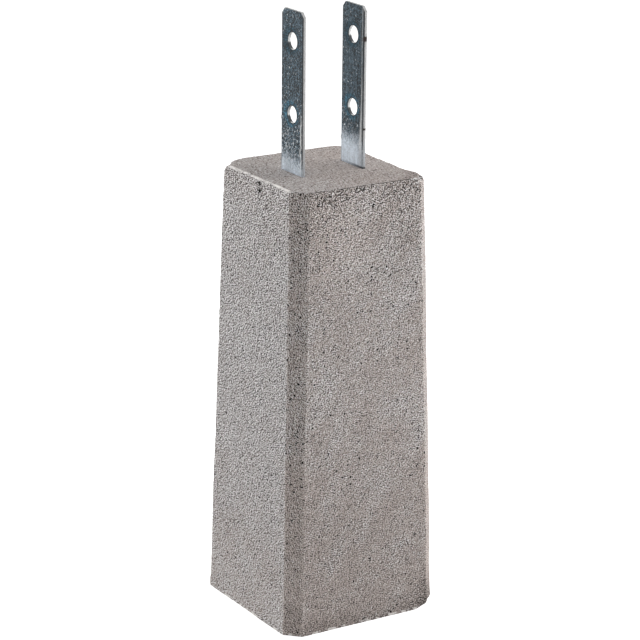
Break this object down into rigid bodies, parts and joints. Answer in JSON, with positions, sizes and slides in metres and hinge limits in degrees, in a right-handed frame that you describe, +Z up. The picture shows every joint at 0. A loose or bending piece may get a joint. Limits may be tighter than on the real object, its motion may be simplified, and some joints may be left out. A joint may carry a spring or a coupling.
{
  "type": "concrete post plinth",
  "caption": "Tapered concrete plinth with chamfered corners and upright drilled steel straps that hold the foot of a square timber post.",
  "frame": {"origin": "centre of the plinth's square base, on the ground plane", "axes": "+Z up along the plinth; the straps stand apart along X, with strap_right at +X, and their broad faces look along X; the strap width runs along Y"},
  "size_m": [0.175, 0.175, 0.61],
  "materials": {
    "concrete": "matte",
    "galvanised_steel": "satin"
  },
  "bodies": {
    "root": {"concrete_plinth": "concrete", "strap_left": "galvanised_steel", "strap_right": "galvanised_steel"}
  },
  "joints": []
}
